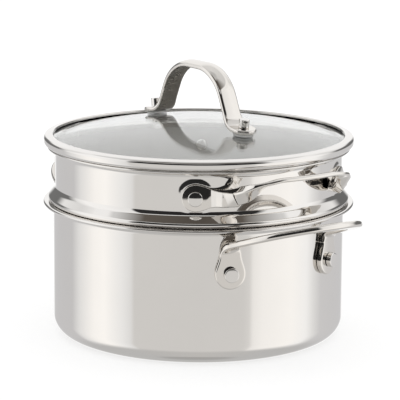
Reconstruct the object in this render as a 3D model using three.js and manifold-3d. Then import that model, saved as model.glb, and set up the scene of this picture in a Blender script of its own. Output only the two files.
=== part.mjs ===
// Saucepot with a steamer insert and a glass lid, in millimetres.
// The pot stands on z = 0 with its axis along z, and its two side handles point along +x and -x.

import * as THREE from "three";
import { mergeGeometries, mergeVertices } from "three/addons/utils/BufferGeometryUtils.js";
import Module from "manifold-3d";

const wasm = await Module();
wasm.setup();

const { degToRad, lerp, smoothstep } = THREE.MathUtils;

// Fits
const FIT_GAP = 0.3; // between two pieces that touch
const SHANK_GAP = 0.3; // round a shank in its hole

// Pot
const POT_WALL_RADIUS = 101.5; // outside of the side wall
const POT_SHEET = 2.3;
const POT_HEIGHT = 94.5; // floor to the top of the lip
const POT_CORNER = 13; // outside radius where the base turns up
const POT_LIP_REACH = 6.9; // lip edge past the wall
const POT_LIP_FLARE = 3.5; // radius under the lip, where the wall turns out

// Pot side handles
const POT_RIVET_SPREAD = 79; // between the two rivets of one handle
const POT_RIVET_HEIGHT = 64;
const POT_LUG_RADIUS = 10.4; // round tail of the lug
const POT_LUG_THICKNESS = 3.8;
const POT_NECK_HEIGHT = 77.5; // where the lug starts to bend outward
const POT_NECK_WIDTH = 14.6; // lug where it starts to bend
const POT_BEND_RADIUS = 7;
const POT_HANDLE_REACH = 53; // wall to the outer edge of the loop
const POT_LOOP_TILT = 18.5; // degrees that the loop rises
const POT_BAR_WIDTH = 11;
const POT_BAR_THICKNESS = 4.6;
const POT_ARM_RUN = 0.5; // share of the loop's length over which its arms start straight
const POT_CREST_SPREAD = 0.8; // share of the arms' spread that the crest keeps

// Steamer insert
const STEAMER_SHEET = 1;
const STEAMER_WALL_INSET = 1.4; // upper wall inside the line of the pot's wall
const STEAMER_RISE = 38.9; // pot lip to the top of the steamer's lip
const STEAMER_DEPTH = 42; // pot lip down to the underside of the perforated floor
const STEAMER_LIP_REACH = 5.6; // lip edge past the upper wall
const STEAMER_HEM = 0.9; // radius of the curl along the lip
const BEAD_SETBACK = 3.5; // bead's nose inside the pot's lip edge
const BEAD_NOSE = 2.6; // outside radius of the bead's nose
const BEAD_SLOPE = 50; // degrees of the cone above the nose
const WELL_CLEARANCE = 2.6; // round the part that hangs in the pot, inside the pot's rivets
const WELL_CORNER = 9;
const SHOULDER_FILLET = 3; // between the well and the seat
const CONE_FILLET = 5.5; // between the cone and the upper wall
const HOLE_DIAMETER = 6;
const HOLE_PITCH = 17; // between rings of holes, and about that between holes
const HOLE_MARGIN = 6; // rim of plain floor outside the last ring

// Steamer side handles
const STEAMER_RIVET_SPREAD = 117.6;
const STEAMER_RIVET_RISE = 20.7; // rivets above the pot's lip
const STEAMER_LUG_RADIUS = 9;
const STEAMER_LUG_THICKNESS = 3.4;
const STEAMER_WALL_RUN = 18.4; // run along the wall past the rivet
const STEAMER_NECK_WIDTH = 10.4; // where the strap leaves the wall
const STEAMER_HANDLE_REACH = 30.7; // wall to the outer edge of the loop
const STEAMER_LOOP_RISE = 14.6; // rivets to the crest of the loop
const STEAMER_LOOP_TILT = 11; // degrees that the loop's crest rises outward
const STEAMER_BAR_WIDTH = 9.6;
const STEAMER_BAR_THICKNESS = 3.3;
const STEAMER_ARM_BEND = 10.8; // bend radius where an arm leaves the wall
const STEAMER_CREST_BEND = 11.5; // bend radius from an arm to the crest
const STEAMER_TWIST_START = 0.23; // shares of the strap, from rivet to crest, between which it twists
const STEAMER_TWIST_END = 0.74;
const STEAMER_CLIMB_START = 0.22; // and between which it rises
const STEAMER_CLIMB_END = 0.81;

// Rivets of the side handles
const RIVET_HEAD_RADIUS = 5;
const RIVET_HEAD_HEIGHT = 3.4;
const RIVET_HEAD_EDGE = 0.7;
const RIVET_SHANK_RADIUS = 2.5;
const RIVET_TAIL_RADIUS = 4.5; // formed head inside the wall
const RIVET_TAIL_HEIGHT = 1.6;
const RIVET_TAIL_EDGE = 1.4;

// Lid
const LID_OVERHANG = 2.3; // band past the steamer's lip
const BAND_SHEET = 0.7;
const BAND_COVER = 6.6; // band's top flange over the edge of the glass
const BAND_EDGE = 2; // outside radius of the band's two outer corners
const BAND_SEAT = 5.6; // bottom flange inward from the band's outer edge
const SKIRT_CLEARANCE = 0.9; // skirt inside the steamer's wall
const SKIRT_DROP = 4.5;
const SKIRT_FILLET = 1.2;
const GLASS_THICKNESS = 4.2;
const GLASS_BRIM = 10; // flat brim of the glass, edge to the foot of the dome
const DOME_RISE = 11.3;

// Lid handle and its fasteners
const STUD_REACH = 52.4; // lid axis to a stud
const STRAP_THICKNESS = 3.2;
const STRAP_WIDTH = 14;
const STRAP_FOOT_RADIUS = 8.8;
const STRAP_TOP_RISE = 41.2; // glass at the crown of the dome to the top of the strap
const STRAP_LEG_LEAN = 65; // degrees of the legs above level
const STRAP_FOOT_BEND = 11; // bend radius from foot to leg
const STRAP_TOP_BEND = 21; // bend radius from leg to top
const STRAP_CROWN = 2.4; // edges of the strap below its middle line, at the top
const STRAP_FOOT_RUN = 9.8; // stud to the corner where foot and leg would meet
const STUD_HEAD_RADIUS = 3.6;
const STUD_HEAD_HEIGHT = 5.6;
const STUD_HEAD_EDGE = 0.6;
const STUD_SHANK_RADIUS = 2;
const GASKET_RADIUS = 7;
const GASKET_THICKNESS = 1.6;
const WASHER_RADIUS = 6;
const WASHER_THICKNESS = 1;
const NUT_RADIUS = 4.2; // across the corners
const NUT_HEIGHT = 3.4;

// Facets
const ROUND_STEPS = 40; // round the pot's axis
const SMALL_STEPS = 10; // round a rivet, stud or washer
const HOLE_STEPS = 8;
const DRILL_TURN = 14; // degrees that a hole's facets are turned
const HEX_STEPS = 6;
const ARC_STEP = 30; // degrees of turn for each step of a rounded corner
const SMALL_ARC_STEP = 45; // the same on small pieces
const DOME_STEPS = 6;
const BAR_SIDES = 10;
const BAR_SQUARENESS = 3; // 2 is an ellipse, more is squarer
const BEND_STEPS = 4;
const LOOP_STEPS = 8;
const STRAP_STEP = 5; // longest stretch between two sections of the steamer's handle
const TAIL_START = 14; // degrees round a lug's tail at which its flat end stands
const SLIVER = 0.02; // detail finer than this is dropped where holes are cut
const HEADING_STEP = 0.01; // share of a path's length over which its direction is taken

// Materials
const steel = (roughness) => new THREE.MeshStandardMaterial({ color: 0xd6d6d4, metalness: 1, roughness });
const potSteel = steel(0.12);
const steamerSteel = steel(0.1);
const handleSteel = steel(0.08);
const rivetSteel = steel(0.15);
const lidGlass = new THREE.MeshStandardMaterial({
  color: 0xdfe6e4,
  metalness: 0,
  roughness: 0.04,
  transparent: true,
  opacity: 0.35,
});
const gasketRubber = new THREE.MeshStandardMaterial({ color: 0xdddcd8, metalness: 0, roughness: 0.6 });

// Evenly spaced values from a to b, both included.
function spread(a, b, steps) {
  return Array.from({ length: steps + 1 }, (_, i) => lerp(a, b, i / steps));
}

// A line through corners [x, y] or [x, y, radius], with each corner rounded to its radius.
function rounded(corners, arcStep = ARC_STEP) {
  return corners.flatMap(([x, y, radius = 0], i) => {
    const corner = new THREE.Vector2(x, y);
    if (radius === 0) return [corner];
    const back = new THREE.Vector2(...corners[i - 1].slice(0, 2)).sub(corner).normalize();
    const on = new THREE.Vector2(...corners[i + 1].slice(0, 2)).sub(corner).normalize();
    const halfAngle = Math.acos(back.dot(on)) / 2;
    const turn = (Math.PI - 2 * halfAngle) * Math.sign(on.cross(back));
    const centre = back.clone().add(on).setLength(radius / Math.sin(halfAngle)).add(corner);
    const start = back.clone().setLength(radius / Math.tan(halfAngle)).add(corner);
    const steps = Math.max(1, Math.round(Math.abs(turn) / degToRad(arcStep)));
    return spread(0, turn, steps).map((angle) => start.clone().rotateAround(centre, angle));
  });
}

// A line with its stretches divided until none is longer than a given length.
function divided(line, longest) {
  return line.flatMap((point, i) => {
    if (i === 0) return [point];
    const before = line[i - 1];
    const parts = Math.ceil(before.distanceTo(point) / longest);
    return spread(0, 1, parts).slice(1).map((share) => before.clone().lerp(point, share));
  });
}

// A line moved to its left by a distance, with mitred corners.
function offsetLine(line, distance) {
  return line.map((point, i) => {
    const before = line[i - 1] ?? point.clone().multiplyScalar(2).sub(line[i + 1]);
    const after = line[i + 1] ?? point.clone().multiplyScalar(2).sub(line[i - 1]);
    const side = (from, to) => new THREE.Vector2(from.y - to.y, to.x - from.x).normalize();
    const first = side(before, point);
    const mitre = first.clone().add(side(point, after)).normalize();
    return point.clone().addScaledVector(mitre, distance / mitre.dot(first));
  });
}

// The closed outline of a sheet whose one face follows a line, with extra points for its far edge.
function sheet(line, thickness, edge = []) {
  const farFace = offsetLine(line, thickness);
  const onAxis = line[0].x === 0;
  if (onAxis) farFace[0].setX(0);
  const outline = [...line, ...edge, ...farFace.reverse()];
  if (!onAxis) outline.push(line[0].clone());
  return THREE.ShapeUtils.area(outline) < 0 ? outline.reverse() : outline;
}

// Points of a round edge from one angle to another, in degrees.
function arc(x, y, radius, from, to) {
  const steps = Math.round(Math.abs(to - from) / (2 * ARC_STEP));
  return spread(degToRad(from), degToRad(to), steps).map(
    (angle) => new THREE.Vector2(x + radius * Math.cos(angle), y + radius * Math.sin(angle)),
  );
}

// A solid turned round z from an outline of radii and heights.
function turned(outline, steps = ROUND_STEPS) {
  return new THREE.LatheGeometry(outline, steps).rotateX(Math.PI / 2);
}

// A ring or disc from its radii and its bottom and top.
function ring(inner, outer, bottom, top, steps = SMALL_STEPS) {
  const corners = [[inner, bottom], [outer, bottom], [outer, top], [inner, top], [inner, bottom]];
  return turned(rounded(corners), steps);
}

// A round bar along z, for drilling holes, turned to keep its edges off the piece's own.
function drill(radius, bottom, top, steps = SMALL_STEPS) {
  const outline = rounded([[0, bottom], [radius, bottom], [radius, top], [0, top]]);
  return turned(outline, steps).rotateZ(degToRad(DRILL_TURN));
}

// A piece made along z, laid along the radius at an angle round the pot, at a height.
function laidRadially(geometry, angle, height) {
  return geometry.rotateY(Math.PI / 2).rotateZ(angle).translate(0, 0, height);
}

function solidOf(geometry) {
  const bare = geometry.clone();
  bare.deleteAttribute("normal");
  bare.deleteAttribute("uv");
  const merged = mergeVertices(bare, 1e-4);
  return new wasm.Manifold(
    new wasm.Mesh({
      numProp: 3,
      vertProperties: new Float32Array(merged.getAttribute("position").array),
      triVerts: new Uint32Array(merged.getIndex().array),
    }),
  );
}

// A geometry with other geometries, which don't touch each other, cut out of it, without slivers.
function cut(geometry, tools) {
  const mesh = solidOf(geometry).subtract(solidOf(mergeGeometries(tools))).simplify(SLIVER).getMesh();
  const result = new THREE.BufferGeometry();
  result.setAttribute("position", new THREE.BufferAttribute(mesh.vertProperties, 3));
  result.setIndex(new THREE.BufferAttribute(mesh.triVerts, 1));
  result.computeVertexNormals();
  return result;
}

// One point of a bar's rounded-rectangle cross-section.
function sectionPoint({ centre, wide, thick, halfWidth, halfThick, bow }, angle) {
  const power = 2 / BAR_SQUARENESS;
  const across = halfWidth * Math.sign(Math.cos(angle)) * Math.abs(Math.cos(angle)) ** power;
  const through = halfThick * Math.sign(Math.sin(angle)) * Math.abs(Math.sin(angle)) ** power;
  const point = centre.clone().addScaledVector(wide, across).addScaledVector(thick, through);
  return bow ? point.addScaledVector(bow, -across * across) : point;
}

// A solid bar through its cross-sections, closed at both ends.
// A bow vector bends a section's edges back along it, to follow a round wall or crown a strap.
function bar(sections) {
  const angles = spread(Math.PI / BAR_SIDES, 2 * Math.PI + Math.PI / BAR_SIDES, BAR_SIDES).slice(0, -1);
  const points = sections.flatMap((section) => angles.map((angle) => sectionPoint(section, angle)));
  const triangles = [];
  for (let i = 0; i < sections.length - 1; i += 1) {
    for (let k = 0; k < BAR_SIDES; k += 1) {
      const here = i * BAR_SIDES + k;
      const next = i * BAR_SIDES + ((k + 1) % BAR_SIDES);
      triangles.push(here, next, next + BAR_SIDES, here, next + BAR_SIDES, here + BAR_SIDES);
    }
  }
  const last = (sections.length - 1) * BAR_SIDES;
  for (let k = 1; k < BAR_SIDES - 1; k += 1) {
    triangles.push(0, k + 1, k, last, last + k, last + k + 1);
  }
  const geometry = new THREE.BufferGeometry().setFromPoints(points);
  geometry.setIndex(triangles);
  geometry.computeVertexNormals();
  return geometry;
}

// The sections of one half of a handle, followed by their mirror images across y = 0.
function withMirror(half, mirror = new THREE.Vector3(1, -1, 1)) {
  const reflect = (section) => ({
    ...section,
    centre: section.centre.clone().multiply(mirror),
    wide: section.wide.clone().multiply(mirror),
    thick: section.thick.clone().multiply(mirror),
    bow: section.bow?.clone().multiply(mirror),
  });
  return [...half, ...half.slice(0, -1).reverse().map(reflect)];
}

const up = new THREE.Vector3(0, 0, 1);
const outward = (angle) => new THREE.Vector3(Math.cos(angle), Math.sin(angle), 0);
const sideways = (angle) => new THREE.Vector3(-Math.sin(angle), Math.cos(angle), 0);

function mesh(name, geometry, material) {
  const piece = new THREE.Mesh(geometry, material);
  piece.name = name;
  return piece;
}

// Sizes that follow from the ones above
const facetSag = POT_WALL_RADIUS * (1 - Math.cos(Math.PI / ROUND_STEPS)); // a flat facet inside its round
const potInnerRadius = POT_WALL_RADIUS - POT_SHEET;
const potLipRadius = POT_WALL_RADIUS + POT_LIP_REACH;
const potLipStart = potLipRadius - POT_SHEET / 2; // where the lip's round edge starts
const potFlare = Math.min(POT_LIP_FLARE, potLipStart - POT_WALL_RADIUS);
const steamerWallRadius = POT_WALL_RADIUS - STEAMER_WALL_INSET;
const steamerLipRadius = steamerWallRadius + STEAMER_LIP_REACH;
const steamerTop = POT_HEIGHT + STEAMER_RISE;
const steamerRivetHeight = POT_HEIGHT + STEAMER_RIVET_RISE;
const lidRadius = steamerLipRadius + LID_OVERHANG;
const potRivetAngle = Math.asin(POT_RIVET_SPREAD / 2 / POT_WALL_RADIUS);
const steamerRivetAngle = Math.asin(STEAMER_RIVET_SPREAD / 2 / steamerWallRadius);

// A rivet along z, through a lug on a round wall, with z measured from the pot's axis.
function rivet(wallRadius, wallSheet, lugThickness) {
  const innerWall = wallRadius - wallSheet;
  const headSeat = wallRadius + lugThickness + 2 * FIT_GAP;
  const wallBow = innerWall - Math.sqrt(innerWall ** 2 - RIVET_TAIL_RADIUS ** 2);
  const tailSeat = innerWall - wallBow - facetSag - FIT_GAP;
  const outline = rounded([
    [0, tailSeat - RIVET_TAIL_HEIGHT],
    [RIVET_TAIL_RADIUS, tailSeat - RIVET_TAIL_HEIGHT, RIVET_TAIL_EDGE],
    [RIVET_TAIL_RADIUS, tailSeat],
    [RIVET_SHANK_RADIUS, tailSeat],
    [RIVET_SHANK_RADIUS, headSeat],
    [RIVET_HEAD_RADIUS, headSeat],
    [RIVET_HEAD_RADIUS, headSeat + RIVET_HEAD_HEIGHT, RIVET_HEAD_EDGE],
    [0, headSeat + RIVET_HEAD_HEIGHT],
  ], SMALL_ARC_STEP);
  return turned(outline, SMALL_STEPS);
}

// Rivet holes through a wall or a lug, at the same angle on each side of every given direction.
function rivetHoles(rivetAngle, height, wallRadius, directions) {
  const radius = RIVET_SHANK_RADIUS + SHANK_GAP;
  const depth = 2 * (POT_SHEET + POT_LUG_THICKNESS + STEAMER_LUG_THICKNESS);
  return directions.flatMap((direction) =>
    [-1, 1].map((side) =>
      laidRadially(
        drill(radius, wallRadius - depth, wallRadius + depth),
        direction + side * rivetAngle,
        height,
      ),
    ),
  );
}

// The pot's body: a flat base, a straight wall and a lip that turns out.
function potBody() {
  const underLip = POT_HEIGHT - POT_SHEET;
  const line = rounded([
    [0, 0],
    [POT_WALL_RADIUS, 0, POT_CORNER],
    [POT_WALL_RADIUS, underLip, potFlare],
    [potLipStart, underLip],
  ]);
  const edge = arc(potLipStart, POT_HEIGHT - POT_SHEET / 2, POT_SHEET / 2, -90, 90).slice(1, -1);
  const shell = turned(sheet(line, POT_SHEET, edge));
  return cut(shell, rivetHoles(potRivetAngle, POT_RIVET_HEIGHT, POT_WALL_RADIUS, [0, Math.PI]));
}

// One pot handle, pointing along +x: two lugs that hang down the wall, bent out into a flat loop.
function potHandle() {
  const angle = -potRivetAngle;
  const out = outward(angle);
  const along = sideways(angle).negate();
  const lugLine = POT_WALL_RADIUS + FIT_GAP + POT_LUG_THICKNESS / 2;
  const slope = Math.tan(degToRad(POT_LOOP_TILT));
  const bendTurn = Math.PI / 2 - Math.atan(Math.cos(angle) * slope);
  const bow = out.clone().divideScalar(2 * POT_WALL_RADIUS);
  const halfBar = POT_BAR_WIDTH / 2;
  const halfNeck = POT_NECK_WIDTH / 2;
  const lug = (height, halfWidth) => ({
    centre: out.clone().multiplyScalar(lugLine).setZ(height),
    wide: along,
    thick: out,
    halfWidth,
    halfThick: POT_LUG_THICKNESS / 2,
    bow,
  });
  const tail = spread(degToRad(TAIL_START), Math.PI / 2, BEND_STEPS).map((turn) =>
    lug(POT_RIVET_HEIGHT - POT_LUG_RADIUS * Math.cos(turn), POT_LUG_RADIUS * Math.sin(turn)),
  );
  const neck = spread(0, 1, BEND_STEPS).slice(1).map((share) =>
    lug(
      lerp(POT_RIVET_HEIGHT, POT_NECK_HEIGHT, share),
      lerp(POT_LUG_RADIUS, halfNeck, smoothstep(share, 0, 1)),
    ),
  );
  const bend = spread(0, bendTurn, BEND_STEPS).slice(1).map((turn) => ({
    centre: out.clone().multiplyScalar(lugLine + POT_BEND_RADIUS * (1 - Math.cos(turn)))
      .setZ(POT_NECK_HEIGHT + POT_BEND_RADIUS * Math.sin(turn)),
    wide: along,
    thick: out.clone().multiplyScalar(Math.cos(turn)).addScaledVector(up, -Math.sin(turn)),
    halfWidth: lerp(halfNeck, halfBar, turn / bendTurn),
    halfThick: lerp(POT_LUG_THICKNESS, POT_BAR_THICKNESS, turn / bendTurn) / 2,
  }));
  const start = bend.at(-1).centre;
  const crest = POT_WALL_RADIUS + POT_HANDLE_REACH - halfBar;
  const run = crest - start.x;
  const path = new THREE.CubicBezierCurve3(
    start,
    new THREE.Vector3(start.x + run * POT_ARM_RUN, start.y, start.z),
    new THREE.Vector3(crest, start.y * POT_CREST_SPREAD, start.z),
    new THREE.Vector3(crest, 0, start.z),
  );
  const thick = new THREE.Vector3(slope, 0, -1).normalize();
  const loop = spread(0, 1, LOOP_STEPS).slice(1).map((share) => {
    const centre = path.getPoint(share);
    const heading = path.getTangent(share);
    heading.setZ(heading.x * slope).normalize();
    return {
      centre: centre.setZ(start.z + (centre.x - start.x) * slope),
      wide: heading.cross(thick).negate().normalize(),
      thick,
      halfWidth: halfBar,
      halfThick: POT_BAR_THICKNESS / 2,
    };
  });
  const geometry = bar(withMirror([...tail, ...neck, ...bend, ...loop]));
  return cut(geometry, rivetHoles(potRivetAngle, POT_RIVET_HEIGHT, POT_WALL_RADIUS, [0]));
}

// The steamer's body: an upper wall above a bead that rests on the pot's lip, and a perforated well.
function steamerBody() {
  const floor = POT_HEIGHT - STEAMER_DEPTH;
  const wellRadius = potInnerRadius - RIVET_TAIL_HEIGHT - FIT_GAP - facetSag - WELL_CLEARANCE;
  const coneNormal = degToRad(90 - BEAD_SLOPE);
  const noseCentre = potLipRadius - BEAD_SETBACK - BEAD_NOSE;
  const noseCorner = noseCentre + (BEAD_NOSE * (1 + Math.sin(coneNormal))) / Math.cos(coneNormal);
  // The nose rests in the round of the pot's lip.
  const lipRound = potFlare + POT_SHEET;
  const aside = Math.max(POT_WALL_RADIUS + potFlare - noseCentre, 0);
  const noseDrop = lipRound - Math.sqrt((lipRound + FIT_GAP + BEAD_NOSE) ** 2 - aside ** 2);
  const seat = POT_HEIGHT - noseDrop - BEAD_NOSE;
  const coneTop = seat + (noseCorner - steamerWallRadius) * Math.tan(degToRad(BEAD_SLOPE));
  const flare = STEAMER_LIP_REACH - STEAMER_HEM;
  const lipStart = steamerWallRadius + flare;
  const underLip = steamerTop - STEAMER_SHEET;
  const line = rounded([
    [0, floor],
    [wellRadius, floor, WELL_CORNER],
    [wellRadius, seat, SHOULDER_FILLET],
    [noseCorner, seat, BEAD_NOSE],
    [steamerWallRadius, coneTop, CONE_FILLET],
    [steamerWallRadius, underLip, flare],
    [lipStart + FIT_GAP, underLip],
  ]).slice(0, -1);
  const hem = arc(lipStart, steamerTop - STEAMER_HEM, STEAMER_HEM, -90, 90).slice(0, -1);
  const shell = turned(sheet(line, STEAMER_SHEET, hem));
  const rings = Math.floor((wellRadius - WELL_CORNER - HOLE_MARGIN) / HOLE_PITCH);
  const hole = () => drill(HOLE_DIAMETER / 2, floor - STEAMER_SHEET, floor + 2 * STEAMER_SHEET, HOLE_STEPS);
  const holes = spread(0, rings, rings).flatMap((ringNumber) => {
    const count = Math.max(1, 6 * ringNumber);
    return spread(0, 2 * Math.PI, count).slice(1).map((angle) => {
      const centre = outward(angle).multiplyScalar(ringNumber * HOLE_PITCH);
      return hole().translate(centre.x, centre.y, 0);
    });
  });
  const rivets = rivetHoles(steamerRivetAngle, steamerRivetHeight, steamerWallRadius, [0, Math.PI]);
  return cut(shell, [...holes, ...rivets]);
}

// One steamer handle, pointing along +x: a strap that lies flat on the wall at its two ends, bends
// straight out and then round into a raised crest, and twists until the crest lies nearly level.
function steamerHandle() {
  const lugLine = steamerWallRadius + FIT_GAP + STEAMER_LUG_THICKNESS / 2;
  const halfBar = STEAMER_BAR_WIDTH / 2;
  const halfNeck = STEAMER_NECK_WIDTH / 2;
  const halfLug = STEAMER_LUG_THICKNESS / 2;
  const crest = steamerWallRadius + STEAMER_HANDLE_REACH - halfBar;
  // The route laid out flat: x runs along the wall to the handle's middle, y is the radius.
  const rivetRun = steamerRivetAngle * lugLine;
  const arm = rivetRun - STEAMER_WALL_RUN - STEAMER_ARM_BEND;
  const crestBend = Math.min(STEAMER_CREST_BEND, crest - lugLine - STEAMER_ARM_BEND);
  const route = divided(rounded([
    [-rivetRun, lugLine],
    [-arm, lugLine, STEAMER_ARM_BEND],
    [-arm, crest, crestBend],
    [0, crest],
  ]), STRAP_STEP);
  const lengths = [0];
  route.slice(1).forEach((point, i) => lengths.push(lengths[i] + point.distanceTo(route[i])));
  const whole = lengths.at(-1);
  const place = (i) => {
    const rise = STEAMER_LOOP_RISE * smoothstep(lengths[i] / whole, STEAMER_CLIMB_START, STEAMER_CLIMB_END);
    return outward(route[i].x / lugLine).multiplyScalar(route[i].y).setZ(steamerRivetHeight + rise);
  };
  const tail = spread(degToRad(TAIL_START), Math.PI / 2, BEND_STEPS).map((turn) => {
    const angle = (-rivetRun - STEAMER_LUG_RADIUS * Math.cos(turn)) / lugLine;
    return {
      centre: outward(angle).multiplyScalar(lugLine).setZ(steamerRivetHeight),
      wide: up,
      thick: outward(angle),
      halfWidth: STEAMER_LUG_RADIUS * Math.sin(turn),
      halfThick: halfLug,
    };
  });
  const finalTwist = degToRad(90 - STEAMER_LOOP_TILT);
  const strap = route.slice(1).map((_, k) => {
    const i = k + 1;
    const next = i + 1 < route.length ? place(i + 1) : place(i - 1).multiply(new THREE.Vector3(1, -1, 1));
    const heading = next.sub(place(i - 1)).normalize();
    const upright = up.clone().addScaledVector(heading, -heading.z).normalize();
    const level = heading.clone().cross(upright);
    const share = lengths[i] / whole;
    const twist = finalTwist * smoothstep(share, STEAMER_TWIST_START, STEAMER_TWIST_END);
    const neck = lerp(STEAMER_LUG_RADIUS, halfNeck, smoothstep(lengths[i], 0, STEAMER_WALL_RUN));
    return {
      centre: place(i),
      wide: upright.clone().multiplyScalar(Math.cos(twist)).addScaledVector(level, Math.sin(twist)),
      thick: level.clone().multiplyScalar(Math.cos(twist)).addScaledVector(upright, -Math.sin(twist)),
      halfWidth: lerp(neck, halfBar, smoothstep(share, STEAMER_TWIST_START, STEAMER_TWIST_END)),
      halfThick: lerp(halfLug, STEAMER_BAR_THICKNESS / 2, share),
    };
  });
  const geometry = bar(withMirror([...tail, ...strap]));
  return cut(geometry, rivetHoles(steamerRivetAngle, steamerRivetHeight, steamerWallRadius, [0]));
}

// Lid levels
const bandBottom = steamerTop + FIT_GAP;
const glassRadius = lidRadius - BAND_SHEET - FIT_GAP;
const brimTop = bandBottom + BAND_SHEET + FIT_GAP + GLASS_THICKNESS;
const bandTop = brimTop + FIT_GAP + BAND_SHEET;
const domeFoot = glassRadius - GLASS_BRIM;
const domeRadius = (domeFoot ** 2 + DOME_RISE ** 2) / (2 * DOME_RISE);
const domeCentre = brimTop + DOME_RISE - domeRadius;
const studLean = Math.asin(STUD_REACH / domeRadius); // from upright, square to the glass

// The lid's glass: a shallow dome with a flat brim, drilled for the two studs.
function lidGlassBody() {
  const edgeLean = Math.asin(domeFoot / domeRadius);
  const dome = spread(0, edgeLean, DOME_STEPS).map(
    (lean) => new THREE.Vector2(domeRadius * Math.sin(lean), domeCentre + domeRadius * Math.cos(lean)),
  );
  dome[0].setX(0);
  const brimBottom = brimTop - GLASS_THICKNESS;
  const edgeRadius = BAND_EDGE - BAND_SHEET - FIT_GAP;
  const upperFace = [...dome, new THREE.Vector2(glassRadius, brimTop)];
  const underside = offsetLine(upperFace, -GLASS_THICKNESS).slice(0, -1);
  underside[0].setX(0);
  const brim = rounded([
    [domeFoot, brimTop],
    [glassRadius, brimTop, edgeRadius],
    [glassRadius, brimBottom, edgeRadius],
    [domeFoot, brimBottom],
  ], SMALL_ARC_STEP).slice(1, -1);
  const body = turned([...dome, ...brim, ...underside.reverse()].reverse());
  const hole = () => drill(STUD_SHANK_RADIUS + SHANK_GAP, -2 * GLASS_THICKNESS, GLASS_THICKNESS);
  return cut(body, [-1, 1].map((side) => {
    const angle = side * studLean;
    return hole().translate(0, 0, domeRadius).rotateY(angle).translate(0, 0, domeCentre);
  }));
}

// The steel band crimped round the glass, with a skirt that drops inside the steamer's lip.
function lidRimBand() {
  const skirtRadius = steamerWallRadius - STEAMER_SHEET - SKIRT_CLEARANCE;
  const skirtBottom = bandBottom - SKIRT_DROP;
  const line = rounded([
    [lidRadius - BAND_COVER, bandTop],
    [lidRadius, bandTop, BAND_EDGE],
    [lidRadius, bandBottom, BAND_EDGE],
    [lidRadius - BAND_SEAT, bandBottom],
    [skirtRadius, bandBottom, SKIRT_FILLET],
    [skirtRadius, skirtBottom],
  ], SMALL_ARC_STEP);
  return turned(sheet(line, -BAND_SHEET));
}

// Heights along a stud, square to the glass, from the glass's upper face.
const footBottom = FIT_GAP + GASKET_THICKNESS + FIT_GAP;
const footTop = footBottom + STRAP_THICKNESS;
const headBottom = footTop + FIT_GAP;
const lowerGasketTop = -GLASS_THICKNESS - FIT_GAP - facetSag;
const lowerGasketBottom = lowerGasketTop - GASKET_THICKNESS;
const washerTop = lowerGasketBottom - FIT_GAP;
const washerBottom = washerTop - WASHER_THICKNESS;
const nutTop = washerBottom - FIT_GAP;
const nutBottom = nutTop - NUT_HEIGHT;

// The lid's handle: a strap arched along x, with a round foot at each end that lies square to its stud.
function lidHandle() {
  const middle = domeRadius + (footBottom + footTop) / 2;
  const foot = new THREE.Vector2(-middle * Math.sin(studLean), domeCentre + middle * Math.cos(studLean));
  const footOn = new THREE.Vector2(Math.cos(studLean), Math.sin(studLean));
  const tip = foot.clone().addScaledVector(footOn, -STRAP_FOOT_RADIUS);
  const heel = foot.clone().addScaledVector(footOn, STRAP_FOOT_RUN);
  const top = domeCentre + domeRadius + STRAP_TOP_RISE - STRAP_THICKNESS / 2;
  const legRun = (top - heel.y) / Math.tan(degToRad(STRAP_LEG_LEAN));
  const line = rounded([
    [tip.x, tip.y],
    [heel.x, heel.y, STRAP_FOOT_BEND],
    [heel.x + legRun, top, STRAP_TOP_BEND],
    [0, top],
  ]);
  const section = (point, heading, halfWidth, crown) => {
    const thick = new THREE.Vector3(-heading.y, 0, heading.x);
    return {
      centre: new THREE.Vector3(point.x, 0, point.y),
      wide: new THREE.Vector3(0, 1, 0),
      thick,
      halfWidth,
      halfThick: STRAP_THICKNESS / 2,
      bow: thick.clone().multiplyScalar(crown / halfWidth ** 2),
    };
  };
  const footEnd = spread(degToRad(TAIL_START), Math.PI / 2, BEND_STEPS).map((turn) =>
    section(
      foot.clone().addScaledVector(footOn, -STRAP_FOOT_RADIUS * Math.cos(turn)),
      footOn,
      STRAP_FOOT_RADIUS * Math.sin(turn),
      0,
    ),
  );
  const legTop = line.length - 2;
  const arch = line.slice(1).map((point, i) => {
    const next = line[i + 2] ?? new THREE.Vector2(-line[i].x, line[i].y);
    const heading = next.clone().sub(line[i]).normalize();
    const rise = smoothstep(i, 0, legTop / 2);
    return section(point, heading, lerp(STRAP_FOOT_RADIUS, STRAP_WIDTH / 2, rise), STRAP_CROWN * rise);
  });
  const mirror = new THREE.Vector3(-1, 1, 1);
  const geometry = bar(withMirror([...footEnd, ...arch], mirror));
  const hole = () => drill(STUD_SHANK_RADIUS + SHANK_GAP, 0, 2 * footTop).translate(0, 0, domeRadius);
  return cut(geometry, [-1, 1].map((side) => hole().rotateY(side * studLean).translate(0, 0, domeCentre)));
}

// A stud along z, from its head above the strap's foot to the nut's underside.
function lidStud() {
  const outline = rounded([
    [0, nutBottom],
    [STUD_SHANK_RADIUS, nutBottom],
    [STUD_SHANK_RADIUS, headBottom],
    [STUD_HEAD_RADIUS, headBottom],
    [STUD_HEAD_RADIUS, headBottom + STUD_HEAD_HEIGHT, STUD_HEAD_EDGE],
    [0, headBottom + STUD_HEAD_HEIGHT],
  ], SMALL_ARC_STEP);
  return turned(outline, SMALL_STEPS);
}

const studBore = STUD_SHANK_RADIUS + SHANK_GAP;
const sides = { right: 1, left: -1 };

const potGroup = new THREE.Group();
potGroup.add(mesh("pot_body", potBody(), potSteel));

const steamerGroup = new THREE.Group();
steamerGroup.add(mesh("steamer_body", steamerBody(), steamerSteel));

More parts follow.
